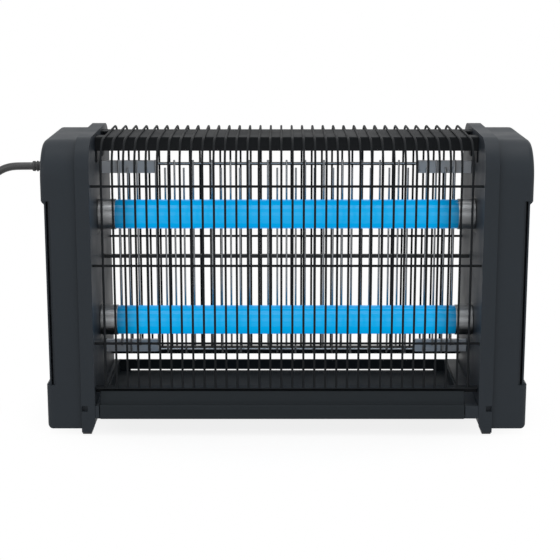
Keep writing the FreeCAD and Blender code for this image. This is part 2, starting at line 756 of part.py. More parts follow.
nodes += [
    grid_rods("live_grid_rods", 0, "grid_low_z + grid_short", GRID_TOP),
    grid_rods("return_grid_rods", 1, "grid_low_z", f"{GRID_TOP} - grid_short"),
]
carrier_half = f"({INNER} - carrier_in)"
bracket_half = f"({INNER} - bracket_long)"
bracket_back = f"{STRIP_Y} + bracket_thick"
for level, label, end, way in (
    ("upper", "live_carrier_rod", GRID_TOP, "-"),
    ("lower", "return_carrier_rod", "grid_low_z", "+"),
):
    height = f"{end} {way} carrier_edge"
    start = (f"-{carrier_half}", f"{STRIP_Y} + grid_rod", height)
    nodes.append(slim_bar(label, "grid_rod", f"2 * {carrier_half}", "X", start))
    edge = f"({end} {way} bracket_edge)"
    heights = (f"{edge} - bracket_high", edge) if way == "-" else (edge, f"{edge} + bracket_high")
    bar = block(f"{level}_bracket_bar", (bracket_half, INNER), (STRIP_Y, bracket_back), heights)
    seat = slim_bar(f"{level}_bracket_seat", "grid_rod", f"2 * {carrier_half}", "X", start)
    nodes += both_sides(f"{level}_grid_bracket", cut(f"right_{level}_grid_bracket", bar, seat))
nodes.append(
    block(
        "grid_spacer",
        (f"-{INNER}", INNER),
        (STRIP_Y, bracket_back),
        ("spacer_z", "spacer_z + spacer_high"),
    )
)

# ---- lamps and their holders


def lamp_cap(level, tube_z):
    """A cupped aluminium cap with its two contact pins, on the right end of a lamp."""
    face = "tube_length / 2"
    outer = "tube_radius + tube_cap_wall"
    shell = round_bar(f"{level}_cap_shell", outer, "tube_cap_length", "X",
                      (f"{face} - tube_cap_length", "tube_y", tube_z))
    bore = round_bar(f"{level}_cap_bore", "tube_radius", "tube_cap_length - tube_cap_wall", "X",
                     (f"{face} - tube_cap_length", "tube_y", tube_z))
    pins = [
        slim_bar(f"{level}_pin_{side}", "contact_radius", "contact_length + tube_cap_wall", "X",
                  (f"{face} - tube_cap_wall", "tube_y", f"{tube_z} + ({side}) * contact_spread / 2"))
        for side in (-1, 1)
    ]
    return join(f"right_{level}_lamp_cap", cut(f"{level}_cap_cup", shell, bore), *pins)


def lamp_holder(level, tube_z):
    """A block that snaps into the inner wall, slotted for the lamp's pins."""
    wide, high = "holder_width / 2", "holder_height / 2"
    shell = block(f"{level}_holder_block", (INNER, f"{INNER} + holder_depth"),
                  (f"tube_y - {wide}", f"tube_y + {wide}"), (f"{tube_z} - {high}", f"{tube_z} + {high}"))
    slot = block(f"{level}_holder_slot", (f"{INNER} - 1", f"{INNER} + holder_slot_deep"),
                 ("tube_y - holder_slot / 2", "tube_y + holder_slot / 2"),
                 (f"{tube_z} - contact_spread", f"{tube_z} + contact_spread"))
    flange = block(f"{level}_holder_flange", (WALL_BACK, f"{WALL_BACK} + frame_wall"),
                   (f"tube_y - {wide} - holder_flange", f"tube_y + {wide} + holder_flange"),
                   (f"{tube_z} - {high} - holder_flange", f"{tube_z} + {high} + holder_flange"))
    return cut(f"right_{level}_lamp_holder", join(f"{level}_holder_body", shell, flange), slot)


for level, tube_z in (("lower", "tube_low_z"), ("upper", TUBE_HIGH)):
    half = "(tube_length / 2 - tube_cap_wall)"
    start = (f"-{half}", "tube_y", tube_z)
    skin = round_bar(f"{level}_glass_skin", "tube_radius", f"2 * {half}", "X", start)
    space = round_bar(f"{level}_glass_space", "tube_radius - tube_glass", f"2 * {half}", "X", start)
    nodes.append(cut(f"{level}_lamp_glass", skin, space))
    nodes += both_sides(f"{level}_lamp_cap", lamp_cap(level, tube_z))
    nodes += both_sides(f"{level}_lamp_holder", lamp_holder(level, tube_z))

# ---- right cap: a ballast and a starter for each lamp
ballast_front = "(ballast_gap - min(frame_half - frame_rim; cap_half - cap_wall))"
ballast_back = "(tube_y - holder_width / 2 - holder_flange - ballast_gap)"
for number, level in enumerate(("lower", "upper")):
    low = f"(ballast_z + {number} * ballast_pitch)"
    nodes.append(
        block(
            f"{level}_ballast",
            (WALL_BACK, f"{WALL_BACK} + ballast_deep"),
            (ballast_front, ballast_back),
            (low, f"{low} + ballast_high"),
        )
    )
    foot = f"(starter_z + {number} * starter_pitch)"
    nodes.append(
        block(
            f"{level}_starter_socket",
            (WALL_BACK, f"{WALL_BACK} + socket_wide"),
            ("starter_y - socket_wide / 2", "starter_y + socket_wide / 2"),
            (foot, f"{foot} + socket_high"),
        )
    )
    stand = (f"{WALL_BACK} + socket_wide / 2", "starter_y", f"{foot} + socket_high")
    nodes.append(slim_bar(f"{level}_starter", "starter_radius", "starter_long", "Z", stand, 16))

# ---- left cap: the high-voltage supply
board_back = f"(-{WALL_BACK} - board_stand)"
board_rear = "(min(frame_half - frame_rim; cap_half - cap_wall) - board_gap)"
board_y = f"({board_rear} - board_wide / 2)"
board_face = f"({board_back} - board_thick)"
nodes.append(
    block(
        "circuit_board",
        (board_face, board_back),
        (f"{board_rear} - board_wide", board_rear),
        ("board_low", "board_low + board_high"),
    )
)
stands = [
    slim_bar(
        f"board_stand_{number}",
        "stand_radius",
        "board_stand",
        "X",
        (
            board_back,
            f"{board_y} + ({y}) * (board_wide / 2 - stand_in)",
            f"board_low + stand_in + {z} * (board_high - 2 * stand_in)",
        ),
    )
    for number, (y, z) in enumerate(((-1, 0), (1, 0), (-1, 1), (1, 1)))
]
nodes.append(group("board_spacers", *stands))
nodes.append(
    block(
        "step_up_transformer",
        (f"{board_face} - coil_deep", board_face),
        (f"{board_y} + coil_edge - coil_size", f"{board_y} + coil_edge"),
        ("board_low + coil_up", "board_low + coil_up + coil_size"),
    )
)
capacitors = [
    slim_bar(
        f"capacitor_{number}",
        "capacitor_radius",
        "capacitor_long",
        "X",
        (
            f"{board_face} - capacitor_long",
            f"{board_rear} - capacitor_edge",
            f"board_low + capacitor_low + {number} * capacitor_pitch",
        ),
        16,
    )
    for number in range(3)
]
nodes.append(group("smoothing_capacitors", *capacitors))
nodes.append(
    block(
        "terminal_block",
        (f"-{WALL_BACK} - terminal_high", f"-{WALL_BACK}"),
        ("cord_y - terminal_long", "cord_y - boot_flange"),
        ("cord_z - terminal_high", "cord_z"),
    )
)

# ---- mains lead


def boot_profile():
    """Half section of a tapered rubber sleeve, held in the cap's side wall by a groove."""
    side, wall = side_half(), size("cap_side")
    bore, flange, lip = size("cord_radius"), size("boot_flange"), size("boot_lip")
    groove = size("boot_base") - size("boot_groove")
    steps = (
        (wall + lip, bore),
        (wall + lip, flange),
        (wall, flange),
        (wall, groove),
        (0, groove),
        (0, flange),
        (-lip, flange),
        (-lip, size("boot_base")),
        (-size("boot_out"), size("boot_tip")),
        (-size("boot_out"), bore),
    )
    return [Vector(along - side, 0, radius) for along, radius in steps]


ring = boot_profile()
boot_face = Part.Face(Part.makePolygon(ring + ring[:1]))
cord_boot = doc.addObject("Part::Feature", "cord_boot")
cord_boot.Shape = boot_face.revolve(Vector(), Vector(1, 0, 0), 360)
cord_boot.Placement = FreeCAD.Placement(Vector(0, size("cord_y"), size("cord_z")), FreeCAD.Rotation())
nodes.append(cord_boot)


def rounded_path(points):
    """Straight runs joined by tangent arcs, each as large as its two runs allow."""
    edges, radii, start = [], [], points[0]
    for before, corner, after in zip(points, points[1:], points[2:]):
        a, b = before - corner, after - corner
        shorter = min(a.Length, b.Length)
        turn = math.pi - a.getAngle(b)
        a.normalize()
        b.normalize()
        reach = 0.45 * shorter
        radius = reach / math.tan(turn / 2)
        first, last = corner + a * reach, corner + b * reach
        middle = (a + b).normalize()
        mid = corner + middle * (radius / math.cos(turn / 2) - radius)
        edges += [Part.LineSegment(start, first).toShape(), Part.Arc(first, mid, last).toShape()]
        radii.append(round(radius, 1))
        start = last
    edges.append(Part.LineSegment(start, points[-1]).toShape())
    return Part.Wire(edges), radii


def lead(name, points):
    """A piece of the round mains lead along a route, with its volume checked."""
    path, radii = rounded_path([Vector(*point) for point in points])
    radius = size("cord_radius")
    way = (Vector(*points[1]) - Vector(*points[0])).normalize()
    section = Part.Wire(Part.Circle(Vector(*points[0]), way, radius).toShape())
    solid = path.makePipeShell([section], True, True)
    expected = math.pi * radius**2 * path.Length
    share = round(solid.Volume / expected, 4)
    print(name, "length", round(path.Length, 1), "radii", radii, "volume share", share)
    thing = doc.addObject("Part::Feature", name)
    thing.Shape = solid
    return thing


boot_end = -side_half() - size("boot_out")
lead_y, lead_z = size("cord_y"), size("cord_z")
radius = size("cord_radius")
coil_x, coil_y = size("coil_x"), size("coil_y")
lane_high = size("coil_lane_low") + 2 * radius * (size("coil_lanes") - 1)
layer_top = radius * (2 * size("coil_layers") - 1)
HANG = [
    (-side_half(), lead_y, lead_z),
    (boot_end - 19, lead_y, lead_z),
    (boot_end - 38, lead_y + 4.5, lead_z - 11),
    (boot_end - 45, lead_y + 10, lead_z - 33.5),
    (boot_end - 46, lead_y + 14, lead_z - 80),
    (coil_x + 37.5, coil_y + 34, layer_top + 50),
    (coil_x + 32.5, coil_y + 36, layer_top + 21.5),
    (coil_x + 18.5, coil_y + 40, layer_top + 5),
    (coil_x - 2.5, coil_y + lane_high, layer_top),
]
nodes.append(lead("mains_lead", HANG))

lane_low, lanes, layers = size("coil_lane_low"), size("coil_lanes"), size("coil_layers")
coil_middle = Vector(coil_x, coil_y, 0)
coil_outer = lane_low + (2 * lanes - 1) * radius
coil = Part.makeCylinder(coil_outer, 2 * radius * layers, coil_middle)
coil = coil.cut(Part.makeCylinder(lane_low - radius, 2 * radius * layers, coil_middle))
lead_coil = doc.addObject("Part::Feature", "mains_lead_coil")
lead_coil.Shape = coil
nodes.append(lead_coil)

TAIL = [
    (coil_x - 39.9, coil_y - 14.5, radius + 0.1),
    (size("plug_x") - 1, size("plug_y") + 14, radius + 1.2),
    (size("plug_x"), size("plug_y"), size("plug_thick") / 2),
]
nodes.append(lead("mains_lead_tail", TAIL))
tie_x = "(coil_x + coil_lane_low - cord_radius)"
tie_end = "(coil_x + coil_lane_low + (2 * coil_lanes - 1) * cord_radius)"
tie_top = "(2 * coil_layers * cord_radius)"
across_tie = ("coil_y - tie_wide / 2", "coil_y + tie_wide / 2")
nodes.append(
    cut(
        "coil_tie",
        block("tie_outside", (f"{tie_x} - tie_thick", f"{tie_end} + tie_thick"), across_tie,
              ("0", f"{tie_top} + tie_thick")),
        block("tie_inside", (tie_x, tie_end), ("coil_y - tie_wide", "coil_y + tie_wide"), ("-1", tie_top)),
    )
)
plug = block(
    "plug_body",
    ("plug_x - plug_wide / 2", "plug_x + plug_wide / 2"),
    ("plug_y - plug_long", "plug_y"),
    ("0", "plug_thick"),
)
nodes.append(plug)
plug_pins = [
    slim_bar(
        f"plug_pin_{side}",
        "plug_pin_radius",
        "plug_pin_long",
        "Y",
        (
            f"plug_x + ({side}) * plug_pin_spread / 2",
            "plug_y - plug_long - plug_pin_long",
            "plug_thick / 2",
        ),
        12,
    )
    for side in (-1, 1)
]
nodes.append(group("plug_pins", *plug_pins))

# ---- check and write every piece
doc.recompute()
broken = [item.Label for item in doc.Objects if {"Invalid", "Error"} & set(item.State)]
broken += [item.Label for item in nodes if item.Shape.isNull() or not item.Shape.isValid()]
if broken:
    raise RuntimeError(f"these failed: {broken}")
os.makedirs("parts", exist_ok=True)
for item in nodes:
    item.Shape.exportStep(f"parts/{item.Label}.step")
    print(item.Label, len(item.Shape.Solids), "solids", round(item.Shape.Volume), "mm3")
print(len(nodes), "pieces")
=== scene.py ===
# %% [markdown]
# # Electric insect killer
# Two lit ultraviolet lamps and a row of high-voltage rods stand behind wire guards, between two
# moulded end caps. A tray slides out below them. The construction model is loaded first and never
# changed; everything made here is fitted to it.

# %% Load the fixed frame
import math

import bmesh
import bpy
from mathutils import Matrix, Vector


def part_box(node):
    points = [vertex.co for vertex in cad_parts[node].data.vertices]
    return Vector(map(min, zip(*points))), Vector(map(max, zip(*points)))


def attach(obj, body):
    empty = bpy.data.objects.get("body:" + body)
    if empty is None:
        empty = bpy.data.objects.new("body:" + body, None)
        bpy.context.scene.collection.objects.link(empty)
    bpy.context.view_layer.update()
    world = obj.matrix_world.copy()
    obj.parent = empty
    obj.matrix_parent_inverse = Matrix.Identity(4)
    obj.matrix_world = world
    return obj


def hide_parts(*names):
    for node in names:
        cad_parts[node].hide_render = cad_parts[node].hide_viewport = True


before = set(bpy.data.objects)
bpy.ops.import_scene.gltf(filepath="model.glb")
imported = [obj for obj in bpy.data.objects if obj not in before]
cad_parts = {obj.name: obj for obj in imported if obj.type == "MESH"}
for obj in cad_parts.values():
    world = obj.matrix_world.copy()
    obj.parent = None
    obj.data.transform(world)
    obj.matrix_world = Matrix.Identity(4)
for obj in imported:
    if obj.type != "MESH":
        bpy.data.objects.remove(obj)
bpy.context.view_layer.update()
MM = 0.001

# %% [markdown]
# ## Camera, lamps and backdrop
# The camera stands a little above the object and looks slightly down. A long lens from far away
# keeps the upright edges nearly parallel. A camera turned level looks straight down its own -Z
# axis, so a quarter turn about X makes it look ahead, and the pitch is taken from that.

# %% Camera
CAMERA_PLACE = Vector((-5.9, -1305, 408.9)) * MM
CAMERA_PITCH = math.radians(12.4)
LENS, SENSOR_WIDTH = 95.14, 36


def shown(name, data):
    """An object for some data, linked into the scene."""
    made = bpy.data.objects.new(name, data)
    bpy.context.scene.collection.objects.link(made)
    return made


camera_data = bpy.data.cameras.new("camera")
camera_data.sensor_width = SENSOR_WIDTH
camera_data.lens = LENS
camera = shown("camera", camera_data)
camera.location = CAMERA_PLACE
camera.rotation_euler = (math.pi / 2 - CAMERA_PITCH, 0, 0)
bpy.context.scene.camera = camera
bpy.context.scene.view_settings.view_transform = "Standard"
print("camera at", tuple(CAMERA_PLACE), "lens", LENS, "mm")

# %% [markdown]
# ## Colours and nodes
# Paint charts and screens give colours as sRGB hex values, but light adds up in linear values, so
# one function turns one into the other. Every material is a small tree of nodes; one function adds
# a node with its settings, values and links, which keeps each tree readable from top to bottom.


# %% A colour from its sRGB hex value, and one function that adds a node
def srgb(code):
    """Linear colour of an sRGB hex value; the numbers are those of the sRGB standard."""
    parts = [int(code[i : i + 2], 16) / 255 for i in (0, 2, 4)]
    return [p / 12.92 if p <= 0.04045 else ((p + 0.055) / 1.055) ** 2.4 for p in parts] + [1.0]


def add(tree, kind, sockets=None, **settings):
    """Adds a node; a socket gets a value, or a link where an output is given."""
    made = tree.nodes.new(kind)
    for name, value in settings.items():
        setattr(made, name, value)
    for name, value in (sockets or {}).items():
        if isinstance(value, bpy.types.NodeSocket):
            tree.links.new(value, made.inputs[name])
        else:
            made.inputs[name].default_value = value
    return made


def blank(name):
    """A new material and its emptied node tree."""
    material = bpy.data.materials.new(name)
    material.use_nodes = True
    material.node_tree.nodes.clear()
    return material, material.node_tree


# %% [markdown]
# ## Light, backdrop and floor
# Dark plastic shows its form by broad reflections, so four large soft lights stand round the
# object, the strongest overhead. The backdrop has to look white without lighting the object as a
# white room would. A Light Path node tells the two apart: what is seen directly, in a reflection
# or through glass is white, and the light that falls on the object is dimmer.

# %% Soft studio light
# place and aim in metres, width and height in metres, power in watts
SOFT_LIGHTS = {
    "overhead": ((0.1, -0.1, 1.5), (0, 0, 0.1), 1.6, 1.2, 15),
    "left": ((-1.3, -1.0, 0.8), (0, 0, 0.15), 0.9, 1.3, 6.5),
    "right": ((1.4, -0.9, 0.7), (0, 0, 0.15), 0.9, 1.3, 5),
    "front": ((0.0, -1.8, 0.5), (0, 0, 0.15), 1.4, 0.8, 4),
}


def soft_light(name, place, aim, width, height, watts):
    """A rectangular light that faces a place."""
    data = bpy.data.lights.new(name, "AREA")
    data.shape, data.size, data.size_y, data.energy = "RECTANGLE", width, height, watts
    lamp = shown(name, data)
    lamp.location = place
    lamp.rotation_euler = (Vector(aim) - Vector(place)).to_track_quat("-Z", "Y").to_euler()


for name, settings in SOFT_LIGHTS.items():
    soft_light(name, *settings)
print("soft lights", ", ".join(SOFT_LIGHTS))

# %% Backdrop
FALLING_LIGHT = 0.45


def seen_share(tree):
    """1 for what is seen directly, mirrored or through glass, and 0 for light that falls."""
    rays = add(tree, "ShaderNodeLightPath")
    direct = add(tree, "ShaderNodeMath",
                 {0: rays.outputs["Is Camera Ray"], 1: rays.outputs["Is Glossy Ray"]},
                 operation="MAXIMUM")
    seen = add(tree, "ShaderNodeMath",
               {0: direct.outputs[0], 1: rays.outputs["Is Transmission Ray"]},
               operation="MAXIMUM")
    return seen.outputs[0]


world = bpy.data.worlds.new("studio")
bpy.context.scene.world = world
world.use_nodes = True
sky = world.node_tree
sky.nodes.clear()
dim = add(sky, "ShaderNodeBackground", {"Color": srgb("ffffff"), "Strength": FALLING_LIGHT})
white = add(sky, "ShaderNodeBackground", {"Color": srgb("ffffff"), "Strength": 1.0})
mixed = add(sky, "ShaderNodeMixShader",
            {0: seen_share(sky), 1: dim.outputs[0], 2: white.outputs[0]})
add(sky, "ShaderNodeOutputWorld", {"Surface": mixed.outputs[0]})

# %% Floor, white paper that keeps a faint shadow under the object
FLOOR_REACH = 3.0
SHADOW_END, PAPER_START = 110 * MM, 195 * MM
SHADOW_SQUEEZE = (0.75, 1.0, 0.0)
PAPER_SHARE = 0.84

floor_mesh = bpy.data.meshes.new("floor")
form = bmesh.new()
bmesh.ops.create_grid(form, x_segments=1, y_segments=1, size=FLOOR_REACH)
form.to_mesh(floor_mesh)
form.free()
floor = shown("floor", floor_mesh)
floor_finish, tree = blank("pale_floor")
spot = add(tree, "ShaderNodeTexCoord")
flat = add(tree, "ShaderNodeVectorMath", {0: spot.outputs["Object"], 1: SHADOW_SQUEEZE},
           operation="MULTIPLY")
away = add(tree, "ShaderNodeVectorMath", {0: flat.outputs[0]}, operation="LENGTH")
edge = add(tree, "ShaderNodeMapRange",
           {"Value": away.outputs["Value"], "From Min": SHADOW_END, "From Max": PAPER_START,
            "To Min": PAPER_SHARE},
           interpolation_type="SMOOTHSTEP")
share = add(tree, "ShaderNodeMath", {0: seen_share(tree), 1: edge.outputs[0]},
            operation="MULTIPLY")
paint = add(tree, "ShaderNodeBsdfDiffuse", {"Color": srgb("fbfbfb")})
paper = add(tree, "ShaderNodeEmission", {"Color": srgb("ffffff"), "Strength": 1.0})
both = add(tree, "ShaderNodeMixShader",
           {0: share.outputs[0], 1: paint.outputs[0], 2: paper.outputs[0]})
add(tree, "ShaderNodeOutputMaterial", {"Surface": both.outputs[0]})
floor.data.materials.append(floor_finish)
print("floor", 2 * FLOOR_REACH, "m wide")

# %% [markdown]
# ## Finishes
# Each finish is named for its real material. A moulded plastic gets the fine grain that spark
# erosion leaves in the mould, powder coat gets its orange peel, and a drawn rod gets streaks along
# its length. The real grains and streaks are a few hundredths of a millimetre wide, too fine to
# show from here, so they are drawn at 0.3 to 1.6 mm. A second, slow pattern of 35 mm changes the
# gloss a little from place to place, as handling and cooling do.

# %% Moulded and coated finishes
NOISE_LOW, NOISE_HIGH = 0.3, 0.7
SLOW_PATTERN = 35 * MM
TINT_CHANGE, GLOSS_CHANGE = 0.08, 0.06
GRAIN_STRENGTH = 0.6
DIELECTRIC_SHEEN = 0.5


def grained(name, colour, roughness, grain_mm, grain_depth, ior, sheen=DIELECTRIC_SHEEN):
    """A surface with a fine grain, sized in millimetres, and a slow change of gloss and tint."""
    material, tree = blank(name)
    spot = add(tree, "ShaderNodeTexCoord")
    grain = add(tree, "ShaderNodeTexNoise",
                {"Vector": spot.outputs["Object"], "Scale": 1 / (grain_mm * MM), "Detail": 3.0})
    slow = add(tree, "ShaderNodeTexNoise",
               {"Vector": spot.outputs["Object"], "Scale": 1 / SLOW_PATTERN, "Detail": 2.0})
    gloss = add(tree, "ShaderNodeMapRange",
                {"Value": slow.outputs["Fac"], "From Min": NOISE_LOW, "From Max": NOISE_HIGH,
                 "To Min": roughness - GLOSS_CHANGE, "To Max": roughness + GLOSS_CHANGE})
    bump = add(tree, "ShaderNodeBump",
               {"Height": grain.outputs["Fac"], "Strength": GRAIN_STRENGTH,
                "Distance": grain_depth * MM})
    base = srgb(colour)[:3]
    tint = add(tree, "ShaderNodeMixRGB",
               {"Fac": slow.outputs["Fac"], "Color1": [c * (1 - TINT_CHANGE) for c in base] + [1],
                "Color2": [min(c * (1 + TINT_CHANGE), 1) for c in base] + [1]})
    surface = add(tree, "ShaderNodeBsdfPrincipled",
                  {"Base Color": tint.outputs["Color"], "Roughness": gloss.outputs["Result"],
                   "Normal": bump.outputs["Normal"], "IOR": ior, "Specular IOR Level": sheen})
    add(tree, "ShaderNodeOutputMaterial", {"Surface": surface.outputs[0]})
    return material


# %% Drawn and plated metals
STREAK_LONG, STREAK_DEPTH, STREAK_STRENGTH = 60 * MM, 0.02 * MM, 0.4
SMOOTHER, ROUGHER = 0.07, 0.09


def streaked(name, colour, roughness, axis, streak_mm):
    """A drawn or brushed metal with fine streaks along one axis."""
    material, tree = blank(name)
    spot = add(tree, "ShaderNodeTexCoord")
    stretch = [1 / (streak_mm * MM)] * 3
    stretch["XYZ".index(axis)] = 1 / STREAK_LONG
    mapped = add(tree, "ShaderNodeMapping", {"Vector": spot.outputs["Object"], "Scale": stretch})
    streak = add(tree, "ShaderNodeTexNoise",
                 {"Vector": mapped.outputs[0], "Scale": 1.0, "Detail": 4.0})
    gloss = add(tree, "ShaderNodeMapRange",
                {"Value": streak.outputs["Fac"], "From Min": NOISE_LOW, "From Max": NOISE_HIGH,
                 "To Min": roughness - SMOOTHER, "To Max": roughness + ROUGHER})
    bump = add(tree, "ShaderNodeBump",
               {"Height": streak.outputs["Fac"], "Strength": STREAK_STRENGTH,
                "Distance": STREAK_DEPTH})
    surface = add(tree, "ShaderNodeBsdfPrincipled",
                  {"Base Color": srgb(colour), "Roughness": gloss.outputs["Result"],
                   "Normal": bump.outputs["Normal"], "Metallic": 1.0})
    add(tree, "ShaderNodeOutputMaterial", {"Surface": surface.outputs[0]})
    return material


# %% Plastics, rubber and coatings
# The housing is moulded in a spark-eroded mould: matt, with broad and dim reflections.
charcoal_abs = grained("charcoal_abs", "23282d", 0.52, 0.7, 0.05, ior=1.53, sheen=0.13)
# The tray is the same plastic in a flatter texture, so that it doesn't mirror the lamps.
tray_abs = grained("black_tray_abs", "23272a", 0.58, 0.7, 0.04, ior=1.53, sheen=0.05)
# Powder coat melts into a fine orange peel that breaks up each highlight.
powder_coat = grained("black_powder_coat", "1a1c1e", 0.58, 1.6, 0.05, ior=1.52, sheen=0.05)
# Nylon comes out of a polished mould a little waxy; the grid's end brackets are natural grey.
black_nylon = grained("black_nylon", "191b1c", 0.5, 0.5, 0.03, ior=1.53, sheen=0.3)
grey_nylon = grained("grey_nylon", "adaeb0", 0.48, 0.5, 0.03, ior=1.53)
# Polycarbonate is hard and glossy, with an off-white pigment.
white_polycarbonate = grained("white_polycarbonate", "dcdad2", 0.3, 0.6, 0.02, ior=1.58)
# Rubber is dull all over; soft PVC has a satin skin.
black_rubber = grained("black_rubber", "1f2021", 0.62, 0.5, 0.05, ior=1.52)
black_pvc = grained("black_pvc", "222324", 0.45, 0.8, 0.03, ior=1.53)
# Varnish turns the steel laminations of a ballast brown, under a soft gloss.
lacquered_steel = grained("lacquered_laminations", "4a4038", 0.4, 0.9, 0.04, ior=1.5)
# A circuit board shows its green lacquer, and a capacitor its shrunk film.
glass_epoxy = grained("green_glass_epoxy", "2f5c3a", 0.35, 0.6, 0.02, ior=1.55)
sleeve_film = grained("blue_shrink_sleeve", "23324d", 0.28, 1.2, 0.02, ior=1.57)
print("finishes up to", sleeve_film.name, len(bpy.data.materials))

# %% Metals
# Drawing leaves lines along a rod, so its highlight is one long bright streak.
stainless_rod = streaked("drawn_stainless_rod", "96989a", 0.28, "Z", 0.3)
stainless_bar = streaked("drawn_stainless_bar", "96989a", 0.28, "X", 0.3)
# Zinc plate is pale and a little cloudy.
zinc_plate = streaked("zinc_plated_steel", "aeb0b2", 0.34, "X", 0.6)
# The lamp caps are drawn from thin sheet, which leaves them a soft grey.
lamp_aluminium = streaked("drawn_aluminium", "8f9193", 0.36, "X", 0.5)
# Nickel over brass keeps a warm tint.
nickel_brass = streaked("nickel_plated_brass", "c9c3b0", 0.25, "X", 0.4)
print("finishes up to", nickel_brass.name, len(bpy.data.materials))

# %% [markdown]
# ## The lit lamp
# The tube is clear glass with a phosphor coat inside that glows blue. It glows evenly along the
# middle and fades in the last centimetres, where the cathode shades it. Emission gives the glow,
# and the glass over it keeps a narrow highlight of its own.

# %% The lit phosphor
GLOW_EVEN_TO, GLOW_FADED_AT = 128 * MM, 152 * MM
GLOW_STRENGTH, GLOW_AT_ENDS = 0.95, 0.25
GLASS_ROUGHNESS, GLASS_IOR, GLASS_SHEEN = 0.12, 1.52, 0.2


def lit_phosphor():
    """Glass that glows blue, a little deeper in colour towards its edges."""
    material, tree = blank("lit_phosphor_glass")
    spot = add(tree, "ShaderNodeTexCoord")
    parts = add(tree, "ShaderNodeSeparateXYZ", {"Vector": spot.outputs["Object"]})
    far = add(tree, "ShaderNodeMath", {0: parts.outputs["X"]}, operation="ABSOLUTE")
    fade = add(tree, "ShaderNodeMapRange",
               {"Value": far.outputs[0], "From Min": GLOW_EVEN_TO, "From Max": GLOW_FADED_AT,
                "To Min": 1.0, "To Max": GLOW_AT_ENDS})
    rim = add(tree, "ShaderNodeLayerWeight", {"Blend": 0.35})
    shade = add(tree, "ShaderNodeMixRGB",
                {"Fac": rim.outputs["Facing"], "Color1": srgb("00a6e4"), "Color2": srgb("0088d4")})
    glow = add(tree, "ShaderNodeMath", {0: fade.outputs[0], 1: GLOW_STRENGTH},
               operation="MULTIPLY")
    surface = add(tree, "ShaderNodeBsdfPrincipled",
                  {"Base Color": srgb("06304e"), "Roughness": GLASS_ROUGHNESS, "IOR": GLASS_IOR,
                   "Specular IOR Level": GLASS_SHEEN, "Emission Color": shade.outputs[0],
                   "Emission Strength": glow.outputs[0]})
    add(tree, "ShaderNodeOutputMaterial", {"Surface": surface.outputs[0]})
    return material


lit_glass = lit_phosphor()
print("finishes up to", lit_glass.name, len(bpy.data.materials))

# %% [markdown]
# ## From a form to a piece
# A piece made here is a bmesh that is written to a mesh, shaded smooth where its faces meet gently,
# given its finish and made to ride on the same body as the node that it stands for. Most moulded
# pieces already have the right shape in the construction model and lack only the small radius of
# their edges. So a copy of the node is merged, its flat faces are joined, and a bevel breaks its
# edges. That is quicker and truer than modelling the piece a second time.

# %% Write a form as a piece
EDGE_ANGLE, ROUND_ANGLE, RIB_ANGLE = 35, 50, 28


def piece_of(form, name, finish, nodes, body="housing", gentle=EDGE_ANGLE):
    """Turns a form into a piece that replaces nodes of the frame and rides on a body."""
    mesh = bpy.data.meshes.new(name)
    bmesh.ops.recalc_face_normals(form, faces=form.faces)
    form.to_mesh(mesh)
    form.free()
    mesh.shade_smooth()
    mesh.set_sharp_from_angle(angle=math.radians(gentle))
    mesh.materials.append(finish)
    piece = shown(name, mesh)
    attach(piece, body)
    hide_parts(*nodes)
    even = piece.modifiers.new("even_shading", "WEIGHTED_NORMAL")
    even.keep_sharp = True


# %% Copy a node's shape and break its edges
SAME_POINT = 0.002 * MM
FLAT_ANGLE, SHARP_ANGLE = math.radians(0.5), math.radians(30)


def node_form(node):
    """A merged copy of a node's mesh, with the triangles of each flat face joined again."""
    form = bmesh.new()
    form.from_mesh(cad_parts[node].data)
    bmesh.ops.remove_doubles(form, verts=form.verts, dist=SAME_POINT)
    bmesh.ops.dissolve_limit(form, angle_limit=FLAT_ANGLE, verts=form.verts, edges=form.edges)
    return form


def break_edges(form, size_mm):
    """Rounds the sharp edges a little, as every moulded or folded piece has them."""
    sharp = [e for e in form.edges if e.is_manifold and e.calc_face_angle(0) > SHARP_ANGLE]
    bmesh.ops.bevel(form, geom=sharp, offset=size_mm * MM, offset_type="OFFSET", segments=2,
                    profile=0.5, affect="EDGES", clamp_overlap=True, material=-1)
    return form


def dressed(node, finish, round_mm, body="housing"):
    """A node's own shape with its edges broken and its real finish."""
    form = break_edges(node_form(node), round_mm)
    piece_of(form, f"{node}_finished", finish, [node], body)


# %% Draw a ring of edges out, and turn a round form
def drawn(form, edges, step):
    """Draws a ring of edges out along a step and returns the new ring."""
    made = bmesh.ops.extrude_edge_only(form, edges=edges)["geom"]
    bmesh.ops.translate(form, vec=step,
                        verts=[v for v in made if isinstance(v, bmesh.types.BMVert)])
    return [e for e in made if isinstance(e, bmesh.types.BMEdge)]


def turned(form, start, way, profile, sides=32):
    """Adds a turned form: a ring drawn along a line, with each radius of a profile in mm."""
    turn = Vector((0, 0, 1)).rotation_difference(way).to_matrix().to_4x4()
    (at, radius), *rest = profile
    place = Matrix.Translation(start + way * at * MM) @ turn
    ring = bmesh.ops.create_circle(form, cap_ends=True, segments=sides, radius=radius * MM,
                                   matrix=place)
    edges = list({e for v in ring["verts"] for e in v.link_edges})
    for next_at, next_radius in rest:
        edges = drawn(form, edges, way * (next_at - at) * MM)
        centre = start + way * next_at * MM
        bmesh.ops.scale(form, vec=[next_radius / radius] * 3, space=Matrix.Translation(-centre),
                        verts=list({v for e in edges for v in e.verts}))
        at, radius = next_at, next_radius
    bmesh.ops.holes_fill(form, edges=edges, sides=sides)
    return form


# %% Find the separate solids of a node
def solids_of(node):
    """The lowest and highest corner of each separate solid of a node."""
    form = node_form(node)
    left, found = set(form.verts), []
    while left:
        todo, spots = [left.pop()], []
        while todo:
            vert = todo.pop()
            spots.append(vert.co.copy())
            near = [e.other_vert(vert) for e in vert.link_edges]
            todo += [other for other in near if other in left]
            left -= set(near)
        found.append([Vector(pick(axis) for axis in zip(*spots)) for pick in (min, max)])
    form.free()
    return found


